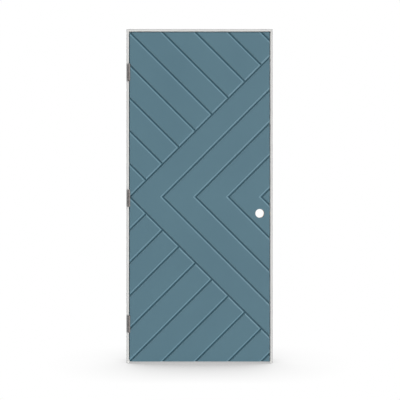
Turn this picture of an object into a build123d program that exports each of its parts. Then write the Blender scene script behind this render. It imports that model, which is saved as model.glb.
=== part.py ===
from build123d import *
import math
import os

# Prehung interior door: a grooved hollow-core slab, hung on three butt hinges in a flat jamb.
# The origin lies on the outer face of the hinge jamb, at floor level, halfway through the wall.
# +X runs across the doorway to the strike jamb, +Y runs away from the side that the door opens to.
# All sizes are in millimetres.

# Slab
slab_width = 863.6
slab_height = 2032.0
slab_thickness = 34.9
skin_thickness = 6.0
skin_edge_radius = 0.8
hinge_stile_width = 30.0
rail_height = 45.0

# Grooves in the skins, spaced along the slab's edges
groove_spacing = 203.2
groove_width = 20.0
groove_depth = 5.0

# Lockset holes
lockset_bore_diameter = 53.98
lockset_backset = 60.33
lockset_height = 914.4
latch_bore_diameter = 22.2
lock_stile_margin = 28.0

# Jamb and stops
jamb_thickness = 14.3
jamb_depth = 115.9
jamb_edge_radius = 0.8
head_rabbet = 6.0
stop_thickness = 11.0
stop_width = 32.0
stop_edge_radius = 4.0

# Gaps around the slab
slab_gap = 5.0
stop_gap = 5.0
undercut = 9.5

# Hinges
hinge_height = 101.6
hinge_seat = 28.6
hinge_corner_radius = 6.35
top_hinge_drop = 250.0
bottom_hinge_rise = 232.0
leaf_thickness = 2.5
leaf_clearance = 0.2
barrel_radius = 7.5
barrel_standoff = 9.5
knuckle_count = 5
knuckle_gap = 0.4
knuckle_clearance = 0.8
knuckle_chamfer = 0.4
pin_radius = 3.5
pin_clearance = 0.05
pin_head_radius = 6.0
pin_head_height = 4.0
pin_head_round = 1.8
pin_tip_length = 3.0
pin_tip_round = 1.2

# Places worked out from the sizes
front = -jamb_depth / 2
back = jamb_depth / 2
slab_left = jamb_thickness + slab_gap
slab_right = slab_left + slab_width
strike_face = slab_right + slab_gap
frame_width = strike_face + jamb_thickness
slab_bottom = undercut
slab_top = slab_bottom + slab_height
slab_middle = (slab_bottom + slab_top) / 2
head_face = slab_top + slab_gap
frame_height = head_face + jamb_thickness
slab_back = front + slab_thickness
core_front = front + skin_thickness
core_back = slab_back - skin_thickness
core_middle = (core_front + core_back) / 2
stop_front = slab_back + stop_gap
stop_back = stop_front + stop_width
stop_top = head_face - stop_thickness
lockset_x = slab_right - lockset_backset
lockset_z = slab_bottom + lockset_height
lockset_bore_radius = lockset_bore_diameter / 2
latch_bore_radius = latch_bore_diameter / 2
stile_inner_left = slab_left + hinge_stile_width
stile_inner_right = lockset_x - lockset_bore_radius - lock_stile_margin
pin_x = jamb_thickness + slab_gap / 2
pin_y = front - barrel_standoff
pin_axis = Axis((pin_x, pin_y, 0), (0, 0, 1))
knuckle_height = (hinge_height - (knuckle_count - 1) * knuckle_gap) / knuckle_count
knuckle_step = knuckle_height + knuckle_gap
top_hinge = slab_top - top_hinge_drop
bottom_hinge = slab_bottom + bottom_hinge_rise
hinge_places = {
    "top": top_hinge,
    "middle": (top_hinge + bottom_hinge) / 2,
    "bottom": bottom_hinge,
}

os.makedirs("parts", exist_ok=True)


def save(piece, label):
    piece.label = label
    export_step(piece, f"parts/{label}.step")


def block(low, high, mode=Mode.ADD):
    """A square block from its lowest corner to its highest."""
    with Locations(low):
        Box(
            high[0] - low[0],
            high[1] - low[1],
            high[2] - low[2],
            align=(Align.MIN, Align.MIN, Align.MIN),
            mode=mode,
        )


def leaf_sheet(face, height, margin, mode=Mode.ADD):
    """A hinge leaf's sheet, from the barrel's axis to its two rounded corners, on the face at x."""
    reach = front + hinge_seat + margin - pin_y
    with BuildSketch(Plane.YZ.offset(face)) as outline:
        with Locations((pin_y + reach / 2, height)):
            Rectangle(reach, hinge_height + 2 * margin)
        fillet(outline.vertices().group_by(Axis.X)[-1], hinge_corner_radius + margin)
    extrude(outline.sketch, amount=leaf_thickness, mode=mode)


def leaf_seats(face):
    """The mortises that three hinge leaves are let into, from the face at x towards +X."""
    for height in hinge_places.values():
        leaf_sheet(face, height, leaf_clearance, mode=Mode.SUBTRACT)


def lockset_bore():
    """The cross bore through the slab that a lockset's body goes into."""
    with BuildSketch(Plane.XZ.offset(-slab_back)) as hole:
        with Locations((lockset_x, lockset_z)):
            Circle(lockset_bore_radius)
    extrude(hole.sketch, amount=slab_thickness, mode=Mode.SUBTRACT)


def latch_bore(start, end):
    """A hole along X for the latch, at the middle of the slab's thickness."""
    with BuildSketch(Plane.YZ.offset(start)) as hole:
        with Locations((core_middle, lockset_z)):
            Circle(latch_bore_radius)
    extrude(hole.sketch, amount=end - start, mode=Mode.SUBTRACT)


def groove(*points):
    """A V-groove in the front face, along straight runs between (x, z) points."""
    with BuildLine() as run:
        Polyline(*[(x, front, z) for x, z in points])
    section_plane = Plane(run.line @ 0, x_dir=(0, 1, 0), z_dir=run.line % 0)
    with BuildSketch(section_plane) as section:
        Polygon(
            (groove_depth, 0),
            (-groove_depth, groove_width),
            (-groove_depth, -groove_width),
            align=None,
        )
    sweep(section.sketch, path=run.line, transition=Transition.RIGHT, mode=Mode.SUBTRACT)


# Jamb: two legs, and a head let into a rabbet at the top of each
with BuildPart() as hinge_jamb:
    block((0, front, 0), (jamb_thickness, back, frame_height))
    inner_edges = hinge_jamb.edges().filter_by(Axis.Z).group_by(Axis.X)[-1]
    fillet(inner_edges, jamb_edge_radius)
    block(
        (jamb_thickness - head_rabbet, front, head_face),
        (jamb_thickness, back, frame_height),
        mode=Mode.SUBTRACT,
    )
    leaf_seats(jamb_thickness - leaf_thickness)
save(hinge_jamb.part, "hinge_jamb")

with BuildPart() as strike_jamb:
    block((strike_face, front, 0), (frame_width, back, frame_height))
    inner_edges = strike_jamb.edges().filter_by(Axis.Z).group_by(Axis.X)[0]
    fillet(inner_edges, jamb_edge_radius)
    block(
        (strike_face, front, head_face),
        (strike_face + head_rabbet, back, frame_height),
        mode=Mode.SUBTRACT,
    )
    latch_bore(strike_face, frame_width)
save(strike_jamb.part, "strike_jamb")

with BuildPart() as head_jamb:
    block(
        (jamb_thickness - head_rabbet, front, head_face),
        (strike_face + head_rabbet, back, frame_height),
    )
    lower_edges = head_jamb.edges().filter_by(Axis.X).group_by(Axis.Z)[0]
    fillet(lower_edges, jamb_edge_radius)
save(head_jamb.part, "head_jamb")

# Stops, nailed to the jamb behind the closed slab
with BuildPart() as hinge_side_stop:
    block((jamb_thickness, stop_front, 0), (jamb_thickness + stop_thickness, stop_back, stop_top))
    open_edges = hinge_side_stop.edges().filter_by(Axis.Z).group_by(Axis.X)[-1]
    fillet(open_edges, stop_edge_radius)
save(hinge_side_stop.part, "hinge_side_stop")

with BuildPart() as strike_side_stop:
    block((strike_face - stop_thickness, stop_front, 0), (strike_face, stop_back, stop_top))
    open_edges = strike_side_stop.edges().filter_by(Axis.Z).group_by(Axis.X)[0]
    fillet(open_edges, stop_edge_radius)
save(strike_side_stop.part, "strike_side_stop")

with BuildPart() as head_stop:
    block((jamb_thickness, stop_front, stop_top), (strike_face, stop_back, head_face))
    open_edges = head_stop.edges().filter_by(Axis.X).group_by(Axis.Z)[0]
    fillet(open_edges, stop_edge_radius)
save(head_stop.part, "head_stop")

# Skins: nested chevrons point at the hinge side, and slanting boards run up to the first of them
chevron_count = math.ceil(slab_width / groove_spacing)
board_count = math.floor((slab_height / 2 + slab_width) / groove_spacing)
chevron_reach = slab_width + groove_width

with BuildPart() as grooved_skin:
    block((slab_left, front, slab_bottom), (slab_right, core_front, slab_top))
    face_edges = grooved_skin.faces().sort_by(Axis.Y)[0].edges()
    fillet(face_edges, skin_edge_radius)
    for chevron in range(chevron_count):
        apex = slab_left + chevron * groove_spacing
        groove(
            (apex + chevron_reach, slab_middle + chevron_reach),
            (apex, slab_middle),
            (apex + chevron_reach, slab_middle - chevron_reach),
        )
    for board in range(1, board_count + 1):
        rise = board * groove_spacing
        for side in (1, -1):
            groove(
                (slab_left - groove_width, slab_middle + side * (rise + groove_width)),
                (slab_left + rise / 2, slab_middle + side * rise / 2),
            )
    lockset_bore()
    latch_bore(lockset_x, slab_right)

with BuildPart() as front_skin:
    add(grooved_skin.part)
    leaf_seats(slab_left)
save(front_skin.part, "front_skin")

with BuildPart() as back_skin:
    mirror(grooved_skin.part, about=Plane.XZ.offset(-core_middle))
save(back_skin.part, "back_skin")

# Core: stiles and rails between the skins, the lock stile wide enough to take the lockset
with BuildPart() as hinge_stile:
    block((slab_left, core_front, slab_bottom), (stile_inner_left, core_back, slab_top))
    leaf_seats(slab_left)
save(hinge_stile.part, "hinge_stile")

with BuildPart() as lock_stile:
    block((stile_inner_right, core_front, slab_bottom), (slab_right, core_back, slab_top))
    latch_bore(lockset_x, slab_right)
    lockset_bore()
save(lock_stile.part, "lock_stile")

with BuildPart() as top_rail:
    block(
        (stile_inner_left, core_front, slab_top - rail_height),
        (stile_inner_right, core_back, slab_top),
    )
save(top_rail.part, "top_rail")

with BuildPart() as bottom_rail:
    block(
        (stile_inner_left, core_front, slab_bottom),
        (stile_inner_right, core_back, slab_bottom + rail_height),
    )
save(bottom_rail.part, "bottom_rail")


# Hinges: the jamb leaf has the odd knuckles, the door leaf the ones between, and one pin runs through
def hinge_leaf(face, height, first_knuckle):
    """A leaf on the face at x, with every second knuckle of the barrel from first_knuckle up."""
    hinge_bottom = height - hinge_height / 2
    with BuildPart() as leaf:
        leaf_sheet(face, height, 0)
        for knuckle in range(1 - first_knuckle, knuckle_count, 2):
            with BuildSketch(Plane.XY.offset(hinge_bottom + knuckle * knuckle_step - knuckle_gap)):
                with Locations((pin_x, pin_y)):
                    Circle(barrel_radius + knuckle_clearance)
            extrude(amount=knuckle_height + 2 * knuckle_gap, mode=Mode.SUBTRACT)
        for knuckle in range(first_knuckle, knuckle_count, 2):
            knuckle_foot = (pin_x, pin_y, hinge_bottom + knuckle * knuckle_step)
            section_plane = Plane(knuckle_foot, x_dir=(1, 0, 0), z_dir=(0, -1, 0))
            with BuildSketch(section_plane) as half_section:
                Rectangle(barrel_radius, knuckle_height, align=(Align.MIN, Align.MIN))
                chamfer(half_section.vertices().group_by(Axis.X)[-1], knuckle_chamfer)
            revolve(axis=pin_axis)
        with BuildSketch(Plane.XY.offset(hinge_bottom)):
            with Locations((pin_x, pin_y)):
                Circle(pin_radius + pin_clearance)
        extrude(amount=hinge_height, mode=Mode.SUBTRACT)
    return leaf.part


def hinge_pin(height):
    """A loose pin that hangs by its round head on the top knuckle."""
    hinge_top = height + hinge_height / 2
    hinge_bottom = height - hinge_height / 2
    with BuildPart() as pin:
        with BuildSketch(Plane.XY.offset(hinge_bottom - pin_tip_length)):
            with Locations((pin_x, pin_y)):
                Circle(pin_radius)
        extrude(amount=hinge_height + pin_tip_length)
        with BuildSketch(Plane.XY.offset(hinge_top)):
            with Locations((pin_x, pin_y)):
                Circle(pin_head_radius)
        extrude(amount=pin_head_height)
        round_ends = pin.edges().filter_by(GeomType.CIRCLE).sort_by(Axis.Z)
        fillet(round_ends[-1], pin_head_round)
        fillet(round_ends[0], pin_tip_round)
    return pin.part


for place, height in hinge_places.items():
    save(hinge_leaf(jamb_thickness - leaf_thickness, height, 0), f"{place}_hinge_jamb_leaf")
    save(hinge_leaf(slab_left, height, 1), f"{place}_hinge_door_leaf")
    save(hinge_pin(height), f"{place}_hinge_pin")
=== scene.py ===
import math

import bmesh
import bpy
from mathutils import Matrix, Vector


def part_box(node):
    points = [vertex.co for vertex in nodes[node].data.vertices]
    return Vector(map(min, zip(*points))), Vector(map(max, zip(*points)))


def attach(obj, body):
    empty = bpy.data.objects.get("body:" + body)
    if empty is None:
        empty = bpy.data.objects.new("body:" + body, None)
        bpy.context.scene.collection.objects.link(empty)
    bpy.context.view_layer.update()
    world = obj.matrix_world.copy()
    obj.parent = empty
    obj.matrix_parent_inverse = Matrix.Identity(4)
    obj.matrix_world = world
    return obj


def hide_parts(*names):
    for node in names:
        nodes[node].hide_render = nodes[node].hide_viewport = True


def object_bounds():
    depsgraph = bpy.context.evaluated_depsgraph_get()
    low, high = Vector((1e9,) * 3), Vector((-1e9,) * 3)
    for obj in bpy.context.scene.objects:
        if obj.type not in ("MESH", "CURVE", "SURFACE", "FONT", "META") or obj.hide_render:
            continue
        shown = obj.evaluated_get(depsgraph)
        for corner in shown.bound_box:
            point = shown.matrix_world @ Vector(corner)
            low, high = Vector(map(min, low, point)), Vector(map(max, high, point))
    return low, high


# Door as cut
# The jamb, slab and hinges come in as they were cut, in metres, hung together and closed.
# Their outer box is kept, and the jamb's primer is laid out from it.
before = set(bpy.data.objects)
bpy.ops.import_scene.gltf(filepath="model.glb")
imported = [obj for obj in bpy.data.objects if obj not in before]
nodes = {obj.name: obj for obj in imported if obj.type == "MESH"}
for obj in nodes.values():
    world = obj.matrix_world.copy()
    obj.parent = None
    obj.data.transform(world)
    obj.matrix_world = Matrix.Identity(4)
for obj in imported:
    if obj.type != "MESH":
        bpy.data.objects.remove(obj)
solid_low, solid_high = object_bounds()


# Jamb
# Two legs and a head of flat pine board make the frame that the door hangs in, the head in a rabbet at the
# top of each leg. They are primed white at the mill, in strokes along each board, and grey along the
# frame's outer edges. The strike leg is bored for the latch's bolt, and the bore is left as bare wood.
jamb_white = (0.78, 0.77, 0.75)
jamb_shade = (0.74, 0.73, 0.71)
primer_patches_per_metre = 4.0
primer_patch_detail = 3.0
primer_strokes_per_metre = 700.0
primer_stroke_detail = 4.0
primer_stroke_stretch = 0.02
primer_stroke_relief = 0.00012
primer_stroke_strength = 0.35
primer_smoothest = 0.42
primer_roughest = 0.56
# Grey for the band along the frame's outer edges.
outer_edge_grey = (0.58, 0.58, 0.575)
outer_edge_start = 0.004
outer_edge_end = 0.007
bare_pine = (0.62, 0.43, 0.25)
bare_pine_dark = (0.44, 0.28, 0.15)
pine_grain_per_metre = 9.0
pine_grain_detail = 6.0
pine_grain_across = 60.0
pine_grain_along = 3.0
cloud_low = 0.35
cloud_high = 0.65
lockset_height = 0.9144
latch_bore_radius = 0.0111
bore_margin = 0.0003
x_axis, y_axis, z_axis = range(3)
jamb_foot_middle = Vector(((solid_low.x + solid_high.x) / 2, 0.0, solid_low.z))
slab_low, slab_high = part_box("front_skin")
stile_low, stile_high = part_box("lock_stile")
latch_line = Vector((0.0, (stile_low.y + stile_high.y) / 2, slab_low.z + lockset_height))


def new_finish(name):
    """A new material, its node tree and its surface shader."""
    finish = bpy.data.materials.new(name)
    finish.use_nodes = True
    tree = finish.node_tree
    return finish, tree, tree.nodes["Principled BSDF"]


def on_axis(axis, value, elsewhere):
    """Three numbers, one value on the given axis and the other on the other two axes."""
    return [value if place == axis else elsewhere for place in range(3)]


def object_place(tree, stretch):
    """The point on the piece, in metres, stretched along each axis."""
    place = tree.nodes.new("ShaderNodeTexCoord")
    mapping = tree.nodes.new("ShaderNodeMapping")
    mapping.inputs["Scale"].default_value = stretch
    tree.links.new(place.outputs["Object"], mapping.inputs["Vector"])
    return mapping.outputs["Vector"]


def noise(tree, per_metre, detail, stretch=(1.0, 1.0, 1.0)):
    """Cloudy values between 0 and 1, most of them between cloud_low and cloud_high."""
    cloud = tree.nodes.new("ShaderNodeTexNoise")
    cloud.inputs["Scale"].default_value = per_metre
    cloud.inputs["Detail"].default_value = detail
    tree.links.new(object_place(tree, stretch), cloud.inputs["Vector"])
    return cloud.outputs["Fac"]


def spread(tree, value, low, high, from_low=cloud_low, from_high=cloud_high):
    """A value moved from one range to another and kept within it."""
    span = tree.nodes.new("ShaderNodeMapRange")
    span.inputs["From Min"].default_value = from_low
    span.inputs["From Max"].default_value = from_high
    span.inputs["To Min"].default_value = low
    span.inputs["To Max"].default_value = high
    tree.links.new(value, span.inputs["Value"])
    return span.outputs["Result"]


def mix_colours(tree, share, first, second):
    """One colour where share is 0, the other where it is 1. Either may be a colour or a socket."""
    mix = tree.nodes.new("ShaderNodeMix")
    mix.data_type = "RGBA"
    tree.links.new(share, mix.inputs["Factor"])
    colour_inputs = [socket for socket in mix.inputs if socket.type == "RGBA"]
    for socket, colour in zip(colour_inputs, (first, second)):
        if isinstance(colour, tuple):
            socket.default_value = (*colour, 1.0)
        else:
            tree.links.new(colour, socket)
    return next(socket for socket in mix.outputs if socket.type == "RGBA")


def two_tones(tree, cloud, dark, light):
    """A colour that drifts between two tones as the cloudy values do."""
    return mix_colours(tree, spread(tree, cloud, 0.0, 1.0), dark, light)


def raise_surface(tree, shader, height, relief, strength):
    """Fine relief of so many metres on the surface."""
    bump = tree.nodes.new("ShaderNodeBump")
    bump.inputs["Distance"].default_value = relief
    bump.inputs["Strength"].default_value = strength
    tree.links.new(height, bump.inputs["Height"])
    tree.links.new(bump.outputs["Normal"], shader.inputs["Normal"])


def wood_colour(tree, along):
    """Bare softwood, with its grain along one axis."""
    stretch = on_axis(along, pine_grain_along, pine_grain_across)
    grain = noise(tree, pine_grain_per_metre, pine_grain_detail, stretch)
    return two_tones(tree, grain, bare_pine_dark, bare_pine)


def distance_from(tree, centre, keep):
    """How far a point lies from centre, along the axes whose keep is 1."""
    distance = tree.nodes.new("ShaderNodeVectorMath")
    distance.operation = "DISTANCE"
    tree.links.new(object_place(tree, keep), distance.inputs[0])
    distance.inputs[1].default_value = [part * share for part, share in zip(centre, keep)]
    return distance.outputs["Value"]


def inside_bore(tree, along, centre, radius):
    """1 within a round bore that runs along one axis through centre, and 0 outside it."""
    near = tree.nodes.new("ShaderNodeMath")
    near.operation = "LESS_THAN"
    near.inputs[1].default_value = radius + bore_margin
    tree.links.new(distance_from(tree, centre, on_axis(along, 0.0, 1.0)), near.inputs[0])
    return near.outputs["Value"]


def primer(name, along, bored=False):
    """Satin white primer, brushed along one axis, and grey within a few millimetres of the frame's outer
    faces.
    """
    finish, tree, shader = new_finish(name)
    stretch = on_axis(along, primer_stroke_stretch, 1.0)
    strokes = noise(tree, primer_strokes_per_metre, primer_stroke_detail, stretch)
    patches = noise(tree, primer_patches_per_metre, primer_patch_detail)
    colour = two_tones(tree, patches, jamb_shade, jamb_white)
    # The colour turns grey within a few millimetres of the frame's outer faces.
    for axis in (x_axis, z_axis):
        reach = solid_high[axis] - jamb_foot_middle[axis]
        from_middle = distance_from(tree, jamb_foot_middle, on_axis(axis, 1.0, 0.0))
        outer_band = spread(tree, from_middle, 0.0, 1.0, reach - outer_edge_end, reach - outer_edge_start)
        colour = mix_colours(tree, outer_band, colour, outer_edge_grey)
    if bored:
        bore = inside_bore(tree, x_axis, latch_line, latch_bore_radius)
        colour = mix_colours(tree, bore, colour, wood_colour(tree, z_axis))
    tree.links.new(colour, shader.inputs["Base Color"])
    roughness = spread(tree, strokes, primer_smoothest, primer_roughest)
    tree.links.new(roughness, shader.inputs["Roughness"])
    raise_surface(tree, shader, strokes, primer_stroke_relief, primer_stroke_strength)
    return finish


leg_primer = primer("leg_primer", z_axis)
head_primer = primer("head_primer", x_axis)
strike_leg_primer = primer("strike_leg_primer", z_axis, bored=True)
nodes["hinge_jamb"].data.materials[0] = leg_primer
nodes["strike_jamb"].data.materials[0] = strike_leg_primer
nodes["head_jamb"].data.materials[0] = head_primer


# Stops
# Three thin strips with rounded edges, primed like the jamb, are nailed round the inside of it.
# The closed slab comes to rest just in front of them.
nodes["hinge_side_stop"].data.materials[0] = leg_primer
nodes["strike_side_stop"].data.materials[0] = leg_primer
nodes["head_stop"].data.materials[0] = head_primer


# Slab core
# Pine stiles and rails are glued between the two skins and painted with them, so only their edges show.
# The lock stile is a wide board, and the bores for a lockset and its latch go through it as bare wood.
slab_blue = (0.100, 0.194, 0.242)
slab_blue_dark = (0.093, 0.182, 0.230)
paint_patches_per_metre = 2.5
paint_patch_detail = 4.0
paint_stipple_per_metre = 900.0
paint_stipple_detail = 3.0
paint_stipple_relief = 0.0001
paint_stipple_strength = 0.3
paint_smoothest = 0.5
paint_roughest = 0.58
paint_gloss = 0.35
# A painted highlight on the grooves' shoulders and painted shade along their bottoms, set by depth.
painted_highlight_blue = (0.176, 0.299, 0.361)
painted_highlight_fade = 0.0020
painted_shade_blue = (0.010, 0.057, 0.084)
painted_shade_start = 0.0022
painted_shade_end = 0.0046
lockset_bore_radius = 0.02699
lockset_backset = 0.06033
lockset_centre = Vector((slab_high.x - lockset_backset, latch_line.y, latch_line.z))
slab_half_thickness = lockset_centre.y - slab_low.y


def slab_paint(name, bored=False, grooved=False):
    """Satin blue-grey paint, rolled, with the fine stipple that a roller leaves. When grooved, it is paler
    near the grooves' shoulders as a painted highlight, and darker along their bottoms as painted shade."""
    finish, tree, shader = new_finish(name)
    stipple = noise(tree, paint_stipple_per_metre, paint_stipple_detail)
    patches = noise(tree, paint_patches_per_metre, paint_patch_detail)
    colour = two_tones(tree, patches, slab_blue_dark, slab_blue)
    if bored:
        for along, radius in ((x_axis, latch_bore_radius), (y_axis, lockset_bore_radius)):
            bore = inside_bore(tree, along, lockset_centre, radius)
            colour = mix_colours(tree, bore, colour, wood_colour(tree, z_axis))
    if grooved:
        from_middle = distance_from(tree, lockset_centre, on_axis(y_axis, 1.0, 0.0))
        # Painted highlight near the face and painted shade deep in each groove, by depth under the face.
        for tone, full, none in (
            (painted_highlight_blue, 0.0, painted_highlight_fade),
            (painted_shade_blue, painted_shade_end, painted_shade_start),
        ):
            nearest = slab_half_thickness - full
            farthest = slab_half_thickness - none
            share = spread(tree, from_middle, 1.0, 0.0, nearest, farthest)
            colour = mix_colours(tree, share, colour, tone)
    tree.links.new(colour, shader.inputs["Base Color"])
    roughness = spread(tree, patches, paint_smoothest, paint_roughest)
    tree.links.new(roughness, shader.inputs["Roughness"])
    shader.inputs["Specular IOR Level"].default_value = paint_gloss
    raise_surface(tree, shader, stipple, paint_stipple_relief, paint_stipple_strength)
    return finish


satin_blue = slab_paint("satin_blue")
bored_satin_blue = slab_paint("bored_satin_blue", bored=True)
for edge_piece in ("hinge_stile", "top_rail", "bottom_rail"):
    nodes[edge_piece].data.materials[0] = satin_blue
nodes["lock_stile"].data.materials[0] = bored_satin_blue


# Skins
# Each face of the slab is one sheet of fibreboard, painted, with V-grooves routed into it. Nested chevrons
# point at the hinge edge, and slanting boards run up to the first chevron above and below. The lockset
# bore shows the brown fibreboard, and the front skin is notched for the hinge leaves.
groove_spacing = 0.2032
groove_width = 0.020
groove_depth = 0.005
shoulder_radius = 0.002
valley_radius = 0.002
arc_steps = 3
skin_edge_radius = 0.0008
skin_edge_step = 0.6
flat_margin = 0.0015
bore_sides = 72
bore_ease = 0.0004
leaf_thickness = 0.0025
leaf_clearance = 0.0002
notch_overrun = 0.002
sharp_turn = math.radians(40)
same_point = 2e-6
place_steps_per_metre = 1e6
depth_steps_per_metre = 1e7
share_digits = 6
fibreboard_brown = (0.46, 0.33, 0.22)
fibreboard_dark = (0.36, 0.25, 0.16)
fibres_per_metre = 1200.0
fibre_detail = 5.0
fibre_relief = 0.0002
fibre_strength = 0.4
fibreboard_roughness = 0.85
hinge_places = ("top", "middle", "bottom")
skin_thickness = stile_low.y - slab_low.y
slab_width = slab_high.x - slab_low.x
slab_half_height = (slab_high.z - slab_low.z) / 2
slab_middle = (slab_high.z + slab_low.z) / 2
bore_across = lockset_centre.x - slab_low.x
bore_up = lockset_centre.z - slab_middle
wall_slope = math.atan2(groove_depth, groove_width / 2)


def fibreboard_finish():
    """Raw brown fibreboard, matt and finely fibrous."""
    finish, tree, shader = new_finish("fibreboard")
    fibres = noise(tree, fibres_per_metre, fibre_detail)
    tree.links.new(two_tones(tree, fibres, fibreboard_dark, fibreboard_brown), shader.inputs["Base Color"])
    shader.inputs["Roughness"].default_value = fibreboard_roughness
    raise_surface(tree, shader, fibres, fibre_relief, fibre_strength)
    return finish


# The grooves' walls carry a painted highlight at their shoulders and painted shade along their bottoms.
groove_shading_satin_blue = slab_paint("groove_shading_satin_blue", grooved=True)
skin_finishes = (satin_blue, fibreboard_finish(), groove_shading_satin_blue)
flat_paint, raw_board, groove_paint = range(3)


def cut_board(outline, across, up, start, edge):
    """What is left of a flat outline where across * u + up * v is at least start. Each corner is
    (u, v, kind of the edge that follows it), and the new edge gets the kind given."""
    kept = []
    for (u, v, kind), (next_u, next_v, _) in zip(outline, outline[1:] + outline[:1]):
        here = across * u + up * v - start
        there = across * next_u + up * next_v - start
        if here >= -same_point:
            turns_off = abs(here) <= same_point and there < -same_point
            kept.append((u, v, edge if turns_off else kind))
        if min(here, there) < -same_point and max(here, there) > same_point:
            share = here / (here - there)
            crossing = (u + share * (next_u - u), v + share * (next_v - v))
            kept.append((*crossing, edge if here > 0 else kind))
    return kept


def boards_of_skin():
    """The flat outlines between the grooves, from the hinge edge (u) and the slab's middle height (v)."""
    whole = [
        (0.0, -slab_half_height, "rim"),
        (slab_width, -slab_half_height, "rim"),
        (slab_width, slab_half_height, "rim"),
        (0.0, slab_half_height, "rim"),
    ]
    boards = []
    for side in (1, -1):
        for chevron in range(math.ceil(slab_width / groove_spacing)):
            arm = cut_board(whole, 0, side, 0.0, "seam")
            arm = cut_board(arm, 1, -side, chevron * groove_spacing, "groove")
            arm = cut_board(arm, -1, side, -(chevron + 1) * groove_spacing, "groove")
            boards.append(arm)
        for board in range(math.ceil((slab_width + slab_half_height) / groove_spacing)):
            slant = cut_board(whole, -1, side, 0.0, "groove")
            slant = cut_board(slant, 1, side, board * groove_spacing, "groove")
            slant = cut_board(slant, -1, -side, -(board + 1) * groove_spacing, "groove")
            boards.append(slant)
    return boards


def groove_contours():
    """(depth, distance from a groove's middle, distance from the slab's edge), from the deepest up."""
    half = groove_width / 2
    shoulder = shoulder_radius * math.tan(wall_slope / 2)
    valley_edge = groove_depth * (1 - valley_radius * math.sin(wall_slope) / half)
    contours = []
    for step in range(arc_steps + 1):
        turn = wall_slope * step / arc_steps
        drop = valley_radius * (math.cos(turn) - math.cos(wall_slope))
        contours.append((valley_edge + drop, valley_radius * math.sin(turn)))
    for depth in (skin_edge_radius, skin_edge_step * skin_edge_radius):
        contours.append((depth, half * (1 - depth / groove_depth)))
    for step in range(arc_steps + 1):
        turn = wall_slope * (1 - step / arc_steps)
        away = half + shoulder - shoulder_radius * math.sin(turn)
        contours.append((shoulder_radius * (1 - math.cos(turn)), away))
    levels = []
    for depth, away in contours:
        short = max(skin_edge_radius - depth, 0.0)
        eased = skin_edge_radius - math.sqrt(skin_edge_radius**2 - short**2)
        levels.append((depth, away, eased))
    levels.append((0.0, levels[-1][1] + flat_margin, levels[-1][2] + flat_margin))
    return levels


def inset(board, from_groove, from_rim):
    """The board's corners, moved in from each edge by the distance for that kind of edge."""
    away = {"groove": from_groove, "rim": from_rim, "seam": 0.0}
    lines = []
    for (u, v, kind), (next_u, next_v, _) in zip(board, board[1:] + board[:1]):
        run = Vector((next_u - u, next_v - v)).normalized()
        inward = Vector((-run.y, run.x))
        lines.append((inward, inward.dot(Vector((u, v))) + away[kind]))
    corners = []
    for (before, start), (after, end) in zip(lines[-1:] + lines[:-1], lines):
        cross = before.x * after.y - before.y * after.x
        u = (start * after.y - end * before.y) / cross
        v = (end * before.x - start * after.x) / cross
        corners.append((u, v))
    return corners


def corners_along(start, end, corners):
    """The corners that lie on an edge, in order, from its start to just before its end."""
    run = Vector(end) - Vector(start)
    found = {0.0: start}
    for point in corners:
        reach = Vector(point) - Vector(start)
        share = reach.dot(run) / run.length_squared
        if same_point < share < 1 - same_point and (reach - share * run).length < same_point:
            found[round(share, share_digits)] = point
    return [found[share] for share in sorted(found)]


def holds_bore(board):
    """True if the lockset bore goes through this board."""
    for (u, v, _), (next_u, next_v, _) in zip(board, board[1:] + board[:1]):
        if (next_u - u) * (bore_up - v) <= (next_v - v) * (bore_across - u):
            return False
    return True


def circle(radius, sides):
    """Points round a circle about nought."""
    turns = [2 * math.pi * step / sides for step in range(sides)]
    return [(radius * math.cos(turn), radius * math.sin(turn)) for turn in turns]


def bore_ring(radius, depth):
    """Corners round the lockset bore, as (u, v, depth)."""
    return [(bore_across + u, bore_up + v, depth) for u, v in circle(radius, bore_sides)]


def band(lower, upper):
    """The four-cornered faces between two rings with the same number of corners."""
    return list(zip(lower, lower[1:] + lower[:1], upper[1:] + upper[:1], upper))


def part_of(ring, start, stop):
    """A ring's corners from one place round to another, both included."""
    return [ring[(start + i) % len(ring)] for i in range((stop - start) % len(ring) + 1)]


def faces_round_bore(outline, ring):
    """Two faces round a bore, parted on a line from the outline's far corner to the one opposite."""
    middle = Vector((bore_across, bore_up))
    corner_ways = [Vector((u, v)) - middle for u, v, _ in outline]
    ring_ways = [Vector((u, v)) - middle for u, v, _ in ring]
    first = max(range(len(outline)), key=lambda i: corner_ways[i].length)
    second = min(range(len(outline)), key=lambda i: corner_ways[i].dot(corner_ways[first]))

    def towards(i):
        """The place on the ring that looks at a corner of the outline."""
        return max(range(len(ring)), key=lambda k: ring_ways[k].dot(corner_ways[i]))

    halves = []
    for start, stop in ((first, second), (second, first)):
        inner = part_of(ring, towards(start), towards(stop))
        halves.append(part_of(outline, start, stop) + inner[::-1])
    return halves


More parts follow.
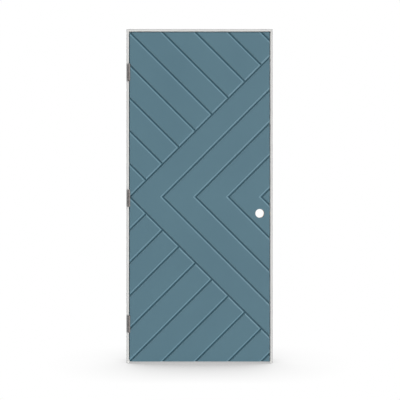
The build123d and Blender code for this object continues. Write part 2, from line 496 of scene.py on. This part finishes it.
def board_faces(board, levels, meeting_points):
    """One board with the groove walls round it: its faces, as (corners, finish), and its creased edges.
    Each corner is (u, v, depth under the skin's outer face)."""
    faces = []
    rings = []
    for depth, from_groove, from_rim in levels:
        rings.append([(u, v, depth) for u, v in inset(board, from_groove, from_rim)])
    back_outline = []
    for i, (u, v, kind) in enumerate(board):
        after = (i + 1) % len(board)
        chain = corners_along((u, v), board[after][:2], meeting_points)
        back_outline += [(*point, skin_thickness) for point in chain]
        if kind == "seam":
            continue
        finish = groove_paint if kind == "groove" else flat_paint
        foot = [(*point, levels[0][0]) for point in chain]
        faces.append((foot + [rings[0][after], rings[1][after], rings[1][i]], finish))
        for lower, upper in zip(rings[1:-1], rings[2:-1]):
            faces.append(([lower[i], lower[after], upper[after], upper[i]], finish))
        faces.append(([rings[-2][i], rings[-2][after], rings[-1][after], rings[-1][i]], flat_paint))
        if kind == "rim":
            base = [(*end[:2], skin_thickness) for end in (board[i], board[after])]
            faces.append((base + [rings[0][after], rings[0][i]], flat_paint))
    creases = []
    for lower, upper in zip(rings, rings[1:]):
        creases += zip(lower, upper)
    sides = [rings[-1], back_outline[::-1]]
    if holds_bore(board):
        bore = [
            bore_ring(lockset_bore_radius + bore_ease, 0.0),
            bore_ring(lockset_bore_radius, bore_ease),
            bore_ring(lockset_bore_radius, skin_thickness),
        ]
        sides = faces_round_bore(sides[0], bore[0]) + faces_round_bore(sides[1], bore[-1][::-1])
        for outer, inner in zip(bore, bore[1:]):
            faces += [(corners, raw_board) for corners in band(outer, inner)]
    faces += [(corners, flat_paint) for corners in sides]
    return faces, creases


def mesh_from(bm, name):
    """The finished mesh of what has been put together."""
    mesh = bpy.data.meshes.new(name)
    bm.to_mesh(mesh)
    bm.free()
    return mesh


def grooved_skin(name, face, inward):
    """A skin's mesh. Its outer face is at y = face, and inward is 1 or -1 along y."""
    bm = bmesh.new()
    known = {}

    def corner(u, v, depth):
        across_and_up = (round(u * place_steps_per_metre), round(v * place_steps_per_metre))
        key = (*across_and_up, round(depth * depth_steps_per_metre))
        if key not in known:
            known[key] = bm.verts.new((slab_low.x + u, face + inward * depth, slab_middle + v))
        return known[key]

    boards = boards_of_skin()
    meeting_points = [(u, v) for board in boards for u, v, _ in board]
    for board in boards:
        faces, creases = board_faces(board, groove_contours(), meeting_points)
        for corners, finish in faces:
            new_face = bm.faces.new([corner(*place) for place in corners][::inward])
            new_face.smooth = True
            new_face.material_index = finish
        for lower, upper in creases:
            bm.edges.get((corner(*lower), corner(*upper))).smooth = False
    bmesh.ops.remove_doubles(bm, verts=bm.verts, dist=same_point)
    return mesh_from(bm, name)


def leaf_notches():
    """Three blocks, where the hinge leaves pass through the front skin's edge."""
    bm = bmesh.new()
    for place in hinge_places:
        leaf_low, leaf_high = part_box(f"{place}_hinge_door_leaf")
        low = Vector((slab_low.x, slab_low.y, leaf_low.z))
        low -= Vector((notch_overrun, notch_overrun, leaf_clearance))
        high = Vector((slab_low.x + leaf_thickness, stile_low.y, leaf_high.z))
        high += Vector((0.0, notch_overrun, leaf_clearance))
        notch = bmesh.ops.create_cube(bm, size=1.0)["verts"]
        bmesh.ops.scale(bm, vec=high - low, verts=notch)
        bmesh.ops.translate(bm, vec=(low + high) / 2, verts=notch)
    return mesh_from(bm, "leaf_notches")


def new_object(name, data):
    """A new object, put in the scene."""
    thing = bpy.data.objects.new(name, data)
    bpy.context.scene.collection.objects.link(thing)
    return thing


def notch_for_leaves(skin):
    """Cuts the notches for the hinge leaves out of a skin."""
    blocks = new_object("leaf_notches", leaf_notches())
    notching = skin.modifiers.new("leaf_notches", "BOOLEAN")
    notching.object = blocks
    notching.solver = "EXACT"
    bpy.context.view_layer.update()
    notched = skin.evaluated_get(bpy.context.evaluated_depsgraph_get())
    skin.data = bpy.data.meshes.new_from_object(notched)
    skin.modifiers.remove(notching)
    bpy.data.objects.remove(blocks)


def crisp_edges(mesh):
    """Lets the mesh shade crisply at each edge where its faces turn sharply."""
    bm = bmesh.new()
    bm.from_mesh(mesh)
    for edge in bm.edges:
        if edge.calc_face_angle(0.0) > sharp_turn:
            edge.smooth = False
    bm.to_mesh(mesh)
    bm.free()


def add_piece(name, mesh, finishes, body):
    """A new piece that moves with a body of the door."""
    piece = new_object(name, mesh)
    for finish in finishes:
        mesh.materials.append(finish)
    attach(piece, body)
    return piece


front_mesh = grooved_skin("grooved_front_skin", slab_low.y, 1)
grooved_front = add_piece("grooved_front_skin", front_mesh, skin_finishes, "door")
notch_for_leaves(grooved_front)
crisp_edges(grooved_front.data)
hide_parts("front_skin")

back_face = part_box("back_skin")[1].y
back_mesh = grooved_skin("grooved_back_skin", back_face, -1)
grooved_back = add_piece("grooved_back_skin", back_mesh, skin_finishes, "door")
crisp_edges(grooved_back.data)
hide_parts("back_skin")


# Hinges
# Three steel butt hinges with rounded corners and loose pins, plated in dull brushed nickel, carry the slab.
# Each leaf is let into the wood and held by four low screws in two staggered rows, whose cross recesses
# are painted dark as painted shade.
nickel = (0.195, 0.18, 0.175)
nickel_dark = (0.16, 0.147, 0.143)
# Painted shade for the screws' cross recesses.
recess_shade_black = (0.03, 0.028, 0.027)
nickel_clouds_per_metre = 45.0
nickel_cloud_detail = 3.0
brush_lines_per_metre = 2500.0
brush_line_detail = 3.0
brush_line_stretch = 0.03
brush_line_relief = 0.00003
brush_line_strength = 0.5
nickel_smoothest = 0.6
nickel_roughest = 0.74
outer_screw_rise = 0.038
outer_screw_inset = 0.0085
inner_screw_rise = 0.0135
inner_screw_inset = 0.0175
screw_radius = 0.0042
screw_proud = 0.0005
screw_sunk = 0.0006
screw_ease = 0.00025
screw_sides = 40
recess_reach = 0.0023
recess_half_width = 0.00055
recess_depth = 0.00046
recess_taper = 0.55


def brush(tree, shader):
    """Makes a surface metal, with fine brush lines up and down."""
    stretch = on_axis(z_axis, brush_line_stretch, 1.0)
    lines = noise(tree, brush_lines_per_metre, brush_line_detail, stretch)
    shader.inputs["Metallic"].default_value = 1.0
    roughness = spread(tree, lines, nickel_smoothest, nickel_roughest)
    tree.links.new(roughness, shader.inputs["Roughness"])
    raise_surface(tree, shader, lines, brush_line_relief, brush_line_strength)


def brushed_nickel():
    """Brushed nickel plate, clouded between two tones."""
    finish, tree, shader = new_finish("hinge_nickel")
    brush(tree, shader)
    clouds = noise(tree, nickel_clouds_per_metre, nickel_cloud_detail)
    tree.links.new(two_tones(tree, clouds, nickel_dark, nickel), shader.inputs["Base Color"])
    return finish


def recess_shade_nickel():
    """The same plate, painted dark in the recess of a screw as painted shade."""
    finish, tree, shader = new_finish("painted_recess_shade")
    brush(tree, shader)
    shader.inputs["Base Color"].default_value = (*recess_shade_black, 1.0)
    return finish


hinge_nickel = brushed_nickel()
screw_finishes = (hinge_nickel, recess_shade_nickel())
plated, recessed = range(2)


def cross_outline(scale):
    """The twelve corners of a cross recess, with four arms about nought."""
    corners = []
    for out_a, out_b in ((1, 0), (0, 1), (-1, 0), (0, -1)):
        for reach, side in ((recess_reach, -1), (recess_reach, 1), (recess_half_width, 1)):
            along = scale * reach
            width = scale * recess_half_width * side
            corners.append((along * out_a - width * out_b, along * out_b + width * out_a))
    return corners


def add_screw_head(bm, middle, outward):
    """One low round head with a cross recess, on a leaf's face that looks towards outward along x."""

    def ring(outline, proud):
        places = [Vector((outward * proud, -outward * across, up)) for across, up in outline]
        return [bm.verts.new(middle + place) for place in places]

    def wall(lower, upper, finish):
        for corners in band(lower, upper):
            bm.faces.new(corners).material_index = finish

    under = ring(circle(screw_radius, screw_sides), -screw_sunk)
    eased = ring(circle(screw_radius, screw_sides), screw_proud - screw_ease)
    top = ring(circle(screw_radius - screw_ease, screw_sides), screw_proud)
    mouth = ring(cross_outline(1.0), screw_proud)
    bottom = ring(cross_outline(recess_taper), screw_proud - recess_depth)
    wall(under, eased, plated)
    wall(eased, top, plated)
    wall(mouth, bottom, recessed)
    bm.faces.new(bottom).material_index = recessed
    bm.faces.new(under[::-1]).material_index = plated
    rims = []
    for loop in (top, mouth):
        rims += [bm.edges.get(ends) for ends in zip(loop, loop[1:] + loop[:1])]
    bmesh.ops.triangle_fill(bm, edges=rims, use_beauty=True)


def leaf_screws(name, face, outward, leaf_end, height):
    """The four screw heads of one leaf, on its face at x, which looks towards outward along x."""
    bm = bmesh.new()
    for rise, from_end in (
        (outer_screw_rise, outer_screw_inset),
        (inner_screw_rise, inner_screw_inset),
    ):
        for way in (1, -1):
            add_screw_head(bm, Vector((face, leaf_end - from_end, height + way * rise)), outward)
    bmesh.ops.recalc_face_normals(bm, faces=bm.faces)
    return mesh_from(bm, name)


jamb_leaf_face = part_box("hinge_jamb")[1].x
for place in hinge_places:
    for hinge_piece in ("jamb_leaf", "door_leaf", "pin"):
        nodes[f"{place}_hinge_{hinge_piece}"].data.materials[0] = hinge_nickel
    leaf_low, leaf_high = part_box(f"{place}_hinge_jamb_leaf")
    hinge_middle = (leaf_low.z + leaf_high.z) / 2
    for leaf, face, outward, body in (
        ("jamb", jamb_leaf_face, 1, "frame"),
        ("door", slab_low.x, -1, "door"),
    ):
        screws_name = f"{place}_hinge_{leaf}_screws"
        screws_mesh = leaf_screws(screws_name, face, outward, leaf_high.y, hinge_middle)
        add_piece(screws_name, screws_mesh, screw_finishes, body)


# Studio floor
# The door stands on a wide, level floor of pale matt grey.
# It is plain white to the eye and darkens only close to the door, in front of it and behind it.
floor_half = 30.0
floor_grey = 0.9
shadow_reach = 0.5
shadow_tilt = math.radians(35)
shadow_samples = 32
shadow_core = 0.388
shadow_fade = 0.39
shadow_grey = 0.49


def seen_directly(tree):
    """1 for what the eye, a shiny surface or glass sees, and 0 for light that bounces."""
    path = tree.nodes.new("ShaderNodeLightPath")
    total = path.outputs["Is Camera Ray"]
    for kind in ("Is Glossy Ray", "Is Transmission Ray"):
        either = tree.nodes.new("ShaderNodeMath")
        either.operation = "MAXIMUM"
        tree.links.new(total, either.inputs[0])
        tree.links.new(path.outputs[kind], either.inputs[1])
        total = either.outputs["Value"]
    return total


def show_white(tree, output, lit, white):
    """Gives the output the white shader where it is seen directly, and the lit one elsewhere."""
    mix = tree.nodes.new("ShaderNodeMixShader")
    tree.links.new(seen_directly(tree), mix.inputs["Fac"])
    tree.links.new(lit.outputs[0], mix.inputs[1])
    tree.links.new(white.outputs[0], mix.inputs[2])
    tree.links.new(mix.outputs["Shader"], output.inputs["Surface"])


def floor_openness(tree):
    """How free the floor is, looking up and leaning to the back or to the front, whichever is less free."""
    darker = tree.nodes.new("ShaderNodeMath")
    darker.operation = "MINIMUM"
    for way, side in zip((1, -1), darker.inputs):
        lean = tree.nodes.new("ShaderNodeCombineXYZ")
        lean.inputs["Y"].default_value = way * math.sin(shadow_tilt)
        lean.inputs["Z"].default_value = math.cos(shadow_tilt)
        contact = tree.nodes.new("ShaderNodeAmbientOcclusion")
        contact.samples = shadow_samples
        contact.inputs["Distance"].default_value = shadow_reach
        tree.links.new(lean.outputs["Vector"], contact.inputs["Normal"])
        tree.links.new(contact.outputs["AO"], side)
    return darker.outputs["Value"]


def floor_paint():
    """Pale matt floor, white to the eye, with a soft shadow round the door's foot."""
    finish, tree, _ = new_finish("studio_floor")
    tree.nodes.clear()
    output = tree.nodes.new("ShaderNodeOutputMaterial")
    matt = tree.nodes.new("ShaderNodeBsdfDiffuse")
    matt.inputs["Color"].default_value = (floor_grey, floor_grey, floor_grey, 1.0)
    white = tree.nodes.new("ShaderNodeEmission")
    fade = tree.nodes.new("ShaderNodeMath")
    fade.operation = "POWER"
    fade.inputs[1].default_value = shadow_fade
    tree.links.new(spread(tree, floor_openness(tree), 0.0, 1.0, shadow_core, 1.0), fade.inputs[0])
    glow = spread(tree, fade.outputs["Value"], shadow_grey, 1.0, 0.0, 1.0)
    tree.links.new(glow, white.inputs["Strength"])
    show_white(tree, output, matt, white)
    return finish


floor_plan = ((-1, -1), (1, -1), (1, 1), (-1, 1))
floor_corners = [(floor_half * side, floor_half * end, 0.0) for side, end in floor_plan]
floor_mesh = bpy.data.meshes.new("studio_floor")
floor_mesh.from_pydata(floor_corners, [], [(0, 1, 2, 3)])
floor_mesh.materials.append(floor_paint())
studio_floor = new_object("studio_floor", floor_mesh)
studio_floor.visible_shadow = False


# White room
# The room round the door is plain white to the eye.
# Its own light on the door is faint, and stronger from above and a little from the right.
room_light = 0.2
room_lean = (0.2, 0.0, 0.5)

room = bpy.data.worlds.new("white_room")
bpy.context.scene.world = room
room.use_nodes = True
room_tree = room.node_tree
room_tree.nodes.clear()
room_output = room_tree.nodes.new("ShaderNodeOutputWorld")
room_glow = room_tree.nodes.new("ShaderNodeBackground")
room_white = room_tree.nodes.new("ShaderNodeBackground")
room_white.inputs["Color"].default_value = (1.0, 1.0, 1.0, 1.0)
room_direction = room_tree.nodes.new("ShaderNodeTexCoord")
towards_light = room_tree.nodes.new("ShaderNodeVectorMath")
towards_light.operation = "DOT_PRODUCT"
towards_light.inputs[1].default_value = room_lean
room_tree.links.new(room_direction.outputs["Generated"], towards_light.inputs[0])
brightness = spread(room_tree, towards_light.outputs["Value"], 0.0, 2 * room_light, -1.0, 1.0)
room_tree.links.new(brightness, room_glow.inputs["Strength"])
show_white(room_tree, room_output, room_glow, room_white)


# Lights
# Two broad soft lights stand level with the door.
# One comes from the front right and shades the grooves, and the other comes from the back left.
front_light_turn = math.radians(54)
front_light_strength = 3.53
back_light_turn = math.radians(50)
back_light_strength = 2.9
light_softness = math.radians(45)
light_distance = 6.0


def add_light(name, comes_from, strength):
    """A broad soft light from one direction."""
    lamp = bpy.data.lights.new(name, "SUN")
    lamp.energy = strength
    lamp.angle = light_softness
    holder = new_object(name, lamp)
    holder.location = comes_from * light_distance
    holder.rotation_mode = "QUATERNION"
    holder.rotation_quaternion = (-comes_from).to_track_quat("-Z", "Y")


front_right = Vector((math.sin(front_light_turn), -math.cos(front_light_turn), 0.0))
back_left = Vector((-math.sin(back_light_turn), math.cos(back_light_turn), 0.0))
add_light("front_light", front_right, front_light_strength)
add_light("back_light", back_left, back_light_strength)


# Camera
# It looks straight at the door from the front, at about half the door's height.
# Its lens is set so that a pixel of the picture spans about six millimetres of the slab's face.
camera_across = 0.4538
camera_height = 1.0064
camera_distance = 4.4
picture_pixels = 400
metres_per_pixel = 0.0061705
sensor_millimetres = 36.0

camera = bpy.data.cameras.new("camera")
camera.sensor_width = sensor_millimetres
camera.lens = sensor_millimetres * camera_distance / (picture_pixels * metres_per_pixel)
camera_holder = new_object("camera", camera)
camera_holder.location = (camera_across, slab_low.y - camera_distance, camera_height)
camera_holder.rotation_euler = (math.radians(90), 0.0, 0.0)
bpy.context.scene.camera = camera_holder
bpy.context.scene.view_settings.view_transform = "Standard"
